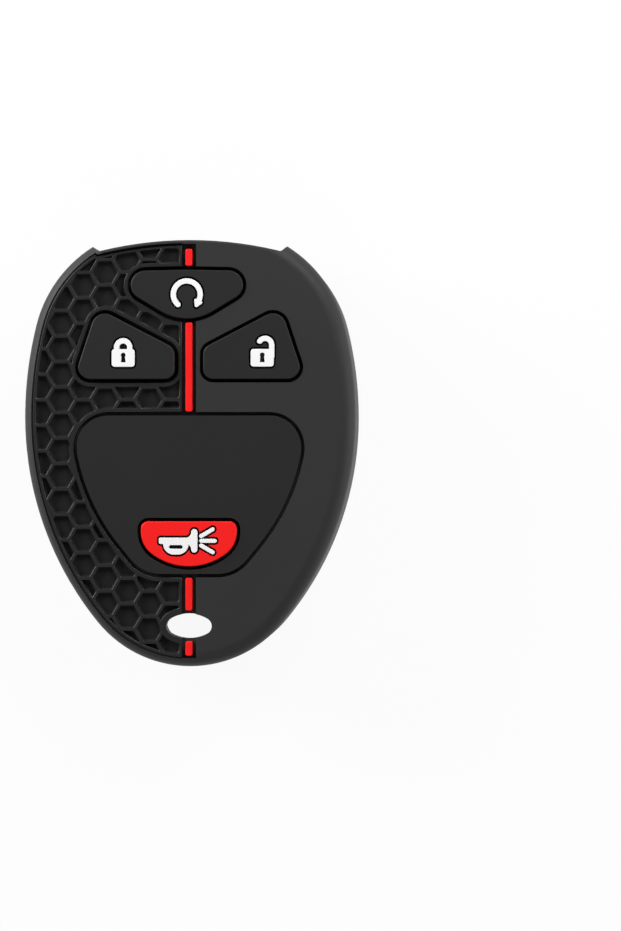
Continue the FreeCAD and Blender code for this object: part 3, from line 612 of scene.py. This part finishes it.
def honeycomb_tree():
    """Geometry Nodes that sink a honeycomb of round-edged cells into a panel, inside a field."""
    tree = bpy.data.node_groups.new("Honeycomb cells", "GeometryNodeTree")
    sockets = {"Panel": "Geometry", "Field": "Object", "First cell": "Vector", "Columns": "Int",
               "Rows": "Int", "Pitch": "Float", "Rib": "Float", "Depth": "Float", "Lip": "Float",
               "Fillet": "Float", "Corner": "Float", "Smallest cell": "Float", "Ribs": "Material",
               "Floors": "Material"}
    for name, kind in sockets.items():
        tree.interface.new_socket(name, in_out="INPUT", socket_type="NodeSocket" + kind)
    tree.interface.new_socket("Panel", in_out="OUTPUT", socket_type="NodeSocketGeometry")
    given = add(tree, "NodeGroupInput").outputs

    # Half width and height of each step of a cell's wall
    gap = add(tree, "ShaderNodeMath", {"operation": "SUBTRACT"}, _0=given["Pitch"],
              _1=given["Rib"]).outputs[0]
    reach = add(tree, "ShaderNodeMath", {"operation": "MULTIPLY"}, _0=gap, _1=0.5).outputs[0]
    floor = add(tree, "ShaderNodeMath", {"operation": "MULTIPLY"}, _0=given["Depth"], _1=-1.0).outputs[0]
    widths = [add(tree, "ShaderNodeMath", {"operation": "MULTIPLY_ADD"}, _0=given[size], _1=spread,
                  _2=reach).outputs[0] for size, rise, spread in CELL_STEPS]
    heights = [add(tree, "ShaderNodeMath", {"operation": "MULTIPLY_ADD"}, _0=given[size], _1=rise,
                   _2=floor if size == "Fillet" else 0.0).outputs[0] for size, rise, spread in CELL_STEPS]

    # One cell: a rounded hexagon on the floor, extruded and widened step by step
    radius = add(tree, "ShaderNodeMath", {"operation": "DIVIDE"}, _0=widths[0], _1=HEXAGON).outputs[0]
    hexagon = add(tree, "GeometryNodeCurvePrimitiveCircle", Resolution=6, Radius=radius).outputs["Curve"]
    rounded = add(tree, "GeometryNodeFilletCurve", {"mode": "POLY"}, Curve=hexagon,
                  Count=CELL_CORNER_POINTS, Radius=given["Corner"], Limit_Radius=True).outputs["Curve"]
    face = add(tree, "GeometryNodeFillCurve", {"mode": "NGONS"}, Curve=rounded).outputs["Mesh"]
    sunk = add(tree, "ShaderNodeCombineXYZ", Z=heights[0]).outputs[0]
    face = add(tree, "GeometryNodeSetPosition", Geometry=face, Offset=sunk).outputs["Geometry"]
    wall = face
    for i in range(1, len(CELL_STEPS)):
        rise = add(tree, "ShaderNodeMath", {"operation": "SUBTRACT"}, _0=heights[i],
                   _1=heights[i - 1]).outputs[0]
        spread = add(tree, "ShaderNodeMath", {"operation": "DIVIDE"}, _0=widths[i],
                     _1=widths[i - 1]).outputs[0]
        lift = add(tree, "ShaderNodeCombineXYZ", Z=rise).outputs[0]
        step = add(tree, "GeometryNodeExtrudeMesh", Mesh=wall, Offset=lift, Offset_Scale=1.0,
                   Individual=False, **({"Selection": top} if i > 1 else {}))
        top = step.outputs["Top"]
        wall = add(tree, "GeometryNodeScaleElements", Geometry=step.outputs["Mesh"], Selection=top,
                   Scale=spread).outputs["Geometry"]
    bottom = add(tree, "GeometryNodeFlipFaces", Mesh=face).outputs["Mesh"]
    both = add(tree, "GeometryNodeJoinGeometry", Geometry=[wall, bottom]).outputs["Geometry"]
    cell = add(tree, "GeometryNodeMergeByDistance", Geometry=both, Distance=WELD * MM).outputs["Geometry"]

    # The lattice, with every second column half a pitch higher
    across = add(tree, "ShaderNodeMath", {"operation": "MULTIPLY"}, _0=given["Pitch"], _1=HEXAGON).outputs[0]
    half = add(tree, "ShaderNodeMath", {"operation": "MULTIPLY"}, _0=given["Pitch"], _1=0.5).outputs[0]
    odd = add(tree, "ShaderNodeMath", {"operation": "MODULO"}, _1=2.0,
              _0=add(tree, "GeometryNodeInputIndex").outputs[0]).outputs[0]
    columns = add(tree, "GeometryNodeMeshLine", Count=given["Columns"], Start_Location=given["First cell"],
                  Offset=add(tree, "ShaderNodeCombineXYZ", X=across).outputs[0]).outputs["Mesh"]
    columns = add(tree, "GeometryNodeSetPosition", Geometry=columns, Selection=odd,
                  Offset=add(tree, "ShaderNodeCombineXYZ", Y=half).outputs[0]).outputs["Geometry"]
    rows = add(tree, "GeometryNodeMeshLine", Count=given["Rows"],
               Offset=add(tree, "ShaderNodeCombineXYZ", Y=given["Pitch"]).outputs[0]).outputs["Mesh"]
    column = add(tree, "GeometryNodeInstanceOnPoints", Points=rows, Instance=cell).outputs["Instances"]
    lattice = add(tree, "GeometryNodeInstanceOnPoints", Points=columns, Instance=column).outputs["Instances"]
    cells = add(tree, "GeometryNodeRealizeInstances", Geometry=lattice).outputs["Geometry"]

    # The cells clipped by the field, without the slivers, and cut out of the panel
    field = add(tree, "GeometryNodeObjectInfo", Object=given["Field"]).outputs["Geometry"]
    clipped = add(tree, "GeometryNodeMeshBoolean", {"operation": "INTERSECT", "solver": "EXACT"},
                  _1=[cells, field]).outputs["Mesh"]
    upward = add(tree, "ShaderNodeSeparateXYZ",
                 Vector=add(tree, "GeometryNodeInputNormal").outputs[0]).outputs["Z"]
    is_top = add(tree, "ShaderNodeMath", {"operation": "GREATER_THAN"}, _0=upward, _1=UPWARD).outputs[0]
    area = add(tree, "ShaderNodeMath", {"operation": "MULTIPLY"}, _0=is_top,
               _1=add(tree, "GeometryNodeInputMeshFaceArea").outputs[0]).outputs[0]
    total = add(tree, "GeometryNodeAccumulateField", {"domain": "FACE"}, Value=area,
                Group_ID=add(tree, "GeometryNodeInputMeshIsland").outputs["Island Index"]).outputs["Total"]
    small = add(tree, "FunctionNodeCompare", {"operation": "LESS_THAN"}, _0=total, _1=given["Smallest cell"])
    kept = add(tree, "GeometryNodeDeleteGeometry", {"domain": "FACE"}, Geometry=clipped,
               Selection=small.outputs[0]).outputs["Geometry"]
    pierced = add(tree, "GeometryNodeMeshBoolean", {"operation": "DIFFERENCE", "solver": "EXACT"},
                  _0=given["Panel"], _1=kept).outputs["Mesh"]

    # Floors in painted shade, darker and matt, between glossy ribs
    ground = add(tree, "ShaderNodeSeparateXYZ", Vector=given["First cell"]).outputs["Z"]
    level = add(tree, "ShaderNodeMath", {"operation": "MULTIPLY_ADD"}, _0=given["Depth"], _1=-SHADE_SHARE,
                _2=ground).outputs[0]
    height = add(tree, "ShaderNodeSeparateXYZ",
                 Vector=add(tree, "GeometryNodeInputPosition").outputs[0]).outputs["Z"]
    low = add(tree, "FunctionNodeCompare", {"operation": "LESS_THAN"}, _0=height, _1=level).outputs[0]
    plain = add(tree, "GeometryNodeRealizeInstances", Geometry=pierced).outputs["Geometry"]
    ribs = add(tree, "GeometryNodeSetMaterial", Geometry=plain, Material=given["Ribs"]).outputs["Geometry"]
    floors = add(tree, "GeometryNodeSetMaterial", Geometry=ribs, Selection=low, Material=given["Floors"])
    add(tree, "NodeGroupOutput", Panel=floors.outputs["Geometry"])
    return tree


# Stage

def set_camera(scene):
    """A camera over the button face, turned a little to the right."""
    stage = settings().stage
    lens = bpy.data.cameras.new("Camera")
    lens.sensor_width = SENSOR_WIDTH
    lens.lens = SENSOR_WIDTH * stage.distance / stage.view_height
    lens.clip_start = CLIP_START
    camera = bpy.data.objects.new("Camera", lens)
    aim = Vector((stage.aim_x, stage.aim_y, stage.aim_z))
    camera.location = aim + Vector((math.sin(stage.turn), 0, math.cos(stage.turn))) * stage.distance
    camera.rotation_euler = (0, stage.turn, 0)
    scene.collection.objects.link(camera)
    scene.camera = camera


def lay_floor(scene):
    """A floor of matt white card: pale, without gloss, and white to the camera apart from the soft shadow."""
    half = FLOOR_HALF
    mesh = bpy.data.meshes.new("floor")
    mesh.from_pydata([(-half, -half, 0), (half, -half, 0), (half, half, 0), (-half, half, 0)], [],
                     [(0, 1, 2, 3)])
    floor = bpy.data.objects.new("floor", mesh)
    floor.location.z = CAD_BOX[0].z - FLOOR_GAP
    scene.collection.objects.link(floor)
    material, tree = new_material("Matt white card")
    paper = add(tree, "ShaderNodeBsdfDiffuse", Color=to_linear(FLOOR_COLOUR))
    glow = add(tree, "ShaderNodeEmission", Color=(1, 1, 1, 1), Strength=1.0)
    path = add(tree, "ShaderNodeLightPath")
    mirrored_rays = add(tree, "ShaderNodeMath", {"operation": "ADD"}, _0=path.outputs["Is Glossy Ray"],
                        _1=path.outputs["Is Transmission Ray"])
    seen = add(tree, "ShaderNodeMath", {"operation": "ADD"}, _0=path.outputs["Is Camera Ray"],
               _1=mirrored_rays.outputs[0])
    share = add(tree, "ShaderNodeMath", {"operation": "MULTIPLY"}, _0=seen.outputs[0], _1=FLOOR_GLOW)
    both = add(tree, "ShaderNodeMixShader", _0=share.outputs[0], _1=paper.outputs[0], _2=glow.outputs[0])
    add(tree, "ShaderNodeOutputMaterial", Surface=both.outputs[0])
    mesh.materials.append(material)


def light_studio(scene):
    """A dim dome that is white to the camera, and softboxes that face the cover."""
    world = bpy.data.worlds.new("Studio")
    world.use_nodes = True
    scene.world = world
    tree = world.node_tree
    tree.nodes.clear()
    path = add(tree, "ShaderNodeLightPath")
    way = add(tree, "ShaderNodeTexCoord").outputs["Generated"]
    rise = add(tree, "ShaderNodeSeparateXYZ", Vector=way).outputs["Z"]
    dome = add(tree, "ShaderNodeMapRange", Value=rise, From_Min=0.0, From_Max=DOME_RISE, To_Min=DOME_LOW,
               To_Max=DOME_HIGH)
    seen = add(tree, "ShaderNodeMix", _0=path.outputs["Is Camera Ray"], _2=dome.outputs[0], _3=1.0)
    sky = add(tree, "ShaderNodeBackground", Color=(1, 1, 1, 1), Strength=seen.outputs[0])
    add(tree, "ShaderNodeOutputWorld", Surface=sky.outputs[0])
    for name, (place, size, power) in SOFTBOXES.items():
        light = bpy.data.lights.new(name, "AREA")
        light.size = size
        light.energy = power
        lamp = bpy.data.objects.new(name, light)
        lamp.location = place
        lamp.rotation_mode = "QUATERNION"
        lamp.rotation_quaternion = Vector(place).to_track_quat("Z", "Y")
        scene.collection.objects.link(lamp)


# Operators

class FOB_OT_shell(bpy.types.Operator):
    """Makes the black moulding with its rounded lips and its palm pad"""
    bl_idname = "fob.shell"
    bl_label = "Cover shell"

    def execute(self, context):
        shell = dressed("cover_shell", "shell_moulding", "Moulded black silicone", settings().edges.shell,
                        "black_silicone")
        # The palm pad takes the darker pad black: painted shade
        shell.data.materials.append(finishes()["Fine black silicone"])
        palm = rounded_outline(PALM_CORNERS, GROOVE / 2)
        for face in shell.data.polygons:
            middle = face.center / MM
            face.material_index = 1 if middle.z > PANEL_LOW.z and encloses(palm, middle) else 0
        return {"FINISHED"}


class FOB_OT_honeycomb(bpy.types.Operator):
    """Makes the honeycomb panel of the left half"""
    bl_idname = "fob.honeycomb"
    bl_label = "Honeycomb panel"

    def execute(self, context):
        sizes = settings().honeycomb
        top = PANEL_HIGH.z
        lip = sizes.lip / MM
        ledge = [(LEDGE, PANEL_LOW.z), (LEDGE, top - LEDGE_DROP), (0.0, top - LEDGE_DROP)]
        panel = left_field("honeycomb_moulding", PANEL_INSET, -CHANNEL_HALF, PANEL_MOUTH_DROP, GROOVE, 0.0,
                           edge_profile(PANEL_LOW.z, top, lip), ledge)
        spreads = {"Lip": (lip, top), "Fillet": (sizes.fillet / MM, top - sizes.depth / MM)}
        profile = [(spreads[size][0] * spread, spreads[size][1] + spreads[size][0] * rise)
                   for size, rise, spread in CELL_STEPS]
        profile = [(profile[0][0], PANEL_LOW.z)] + profile + [(profile[-1][0], top + FIELD_RISE)]
        field = left_field("cell_field", PANEL_INSET + RIM_FRAME, -CHANNEL_HALF - FRAME_WIDTH,
                           PANEL_MOUTH_DROP + FRAME_WIDTH, GROOVE + COLLAR, EYE_COLLAR, profile)
        tree = honeycomb_tree()
        cells = panel.modifiers.new("Honeycomb", "NODES")
        cells.node_group = tree
        values = {"Field": field, "First cell": Vector((*FIRST_CELL, top)) * MM, "Columns": COLUMNS,
                  "Rows": ROWS, "Pitch": sizes.pitch, "Rib": sizes.rib, "Depth": sizes.depth,
                  "Lip": sizes.lip, "Fillet": sizes.fillet, "Corner": sizes.corner,
                  "Smallest cell": sizes.smallest,
                  "Ribs": finishes()["Glossy black silicone"],
                  "Floors": finishes()["Blasted black silicone"]}
        for socket in tree.interface.items_tree:
            if socket.in_out == "INPUT" and socket.name in values:
                cells[socket.identifier] = values[socket.name]
        baked(panel)
        bpy.data.objects.remove(field)
        smooth(panel)
        finished(panel, "cover", "black_silicone", "honeycomb_panel")
        return {"FINISHED"}


class FOB_OT_strips(bpy.types.Operator):
    """Makes the four red strips of the centre channel"""
    bl_idname = "fob.strips"
    bl_label = "Red strips"

    def execute(self, context):
        edges = settings().edges
        for place in ("top", "middle", "lower", "tail"):
            low, high = [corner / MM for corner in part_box("red_strip_" + place)]
            corners = rectangle(low, high, edges.strip_ends / MM)
            profile = edge_profile(low.z, high.z, edges.strips / MM)
            mesh = loft(lambda grow: rounded_outline(corners, grow), profile)
            strip = smooth(new_piece("strip_" + place, mesh, "Moulded red silicone"))
            finished(strip, "cover", "red_silicone", "red_strip_" + place)
        return {"FINISHED"}


class FOB_OT_pads(bpy.types.Operator):
    """Makes the button pads"""
    bl_idname = "fob.pads"
    bl_label = "Button pads"

    def execute(self, context):
        edges = settings().edges
        shade_top = CAD_BOX[1].z - edges.moat_shade_depth
        for name in BUTTONS:
            pad = dressed(name + "_button", name + "_pad", "Fine black silicone", edges.pads,
                          "black_silicone")
            # Faces below that depth, in the moats and the groove, take the darker black: painted shade
            pad.data.materials.append(finishes()["Blasted black silicone"])
            for face in pad.data.polygons:
                face.material_index = 1 if face.center.z < shade_top else 0
        dressed("panic_inlay", "panic_face", "Moulded red silicone", edges.pads, "red_silicone")
        return {"FINISHED"}


class FOB_OT_skins(bpy.types.Operator):
    """Makes the thin skins that flex round the buttons, from the wall of the groove down to the pad"""
    bl_idname = "fob.skins"
    bl_label = "Flexing skins"

    def execute(self, context):
        thick = settings().edges.skin / MM
        width = GROOVE + 2 * SKIN_TUCK
        for name, corners in BUTTONS.items():
            low, high = [corner.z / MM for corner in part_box(name + "_web")]
            rise = high - low - thick
            under = [(-SKIN_TUCK + width * i / SKIN_STEPS, low + rise * i / SKIN_STEPS)
                     for i in range(SKIN_STEPS + 1)]
            over = [(grow, height + thick) for grow, height in reversed(under)]
            mesh = loft(lambda grow: rounded_outline(corners, grow), under + over, is_ring=True)
            # The skins take the darker pad black: painted shade
            skin = smooth(new_piece(name + "_skin", mesh, "Fine black silicone"))
            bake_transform(skin)
            finished(skin, None, "black_silicone", name + "_web")
        return {"FINISHED"}


class FOB_OT_icons(bpy.types.Operator):
    """Makes the white icons"""
    bl_idname = "fob.icons"
    bl_label = "Icons"

    def execute(self, context):
        width = settings().edges.icons
        names = {"start_icon": "ring_arrow", "lock_icon": "closed_padlock", "unlock_icon": "open_padlock",
                 "horn_icon": "horn", "horn_ray_upper": "ray_upper", "horn_ray_middle": "ray_middle",
                 "horn_ray_lower": "ray_lower"}
        for node, name in names.items():
            dressed(node, name, "Moulded white silicone", width, "white_silicone")
        return {"FINISHED"}


class FOB_OT_stage(bpy.types.Operator):
    """Lays the floor and sets the light and the camera"""
    bl_idname = "fob.stage"
    bl_label = "Stage"

    def execute(self, context):
        context.scene.view_settings.view_transform = "Standard"
        set_camera(context.scene)
        lay_floor(context.scene)
        light_studio(context.scene)
        return {"FINISHED"}


class FOB_PT_panel(bpy.types.Panel):
    """The cover's sizes, colours and pieces"""
    bl_idname = "FOB_PT_panel"
    bl_label = "Fob cover"
    bl_space_type = "VIEW_3D"
    bl_region_type = "UI"
    bl_category = "Fob cover"

    def draw(self, context):
        cover = settings()
        for group in (cover.edges, cover.honeycomb, cover.colours, cover.stage):
            for name in group.__annotations__:
                self.layout.prop(group, name)
        for operator in OPERATORS:
            self.layout.operator(operator.bl_idname)


GROUPS = (FobEdges, FobHoneycomb, FobColours, FobStage, FobCover)
OPERATORS = (FOB_OT_shell, FOB_OT_honeycomb, FOB_OT_strips, FOB_OT_pads, FOB_OT_skins, FOB_OT_icons,
             FOB_OT_stage)
CLASSES = (*GROUPS, *OPERATORS, FOB_PT_panel)


def register():
    for item in CLASSES:
        bpy.utils.register_class(item)
    bpy.types.Scene.fob_cover = bpy.props.PointerProperty(type=FobCover)


def unregister():
    del bpy.types.Scene.fob_cover
    for item in reversed(CLASSES):
        bpy.utils.unregister_class(item)


def main():
    register()
    bpy.ops.fob.shell()
    bpy.ops.fob.honeycomb()
    bpy.ops.fob.strips()
    bpy.ops.fob.pads()
    bpy.ops.fob.skins()
    bpy.ops.fob.icons()
    bpy.ops.fob.stage()


if __name__ == "__main__":
    main()
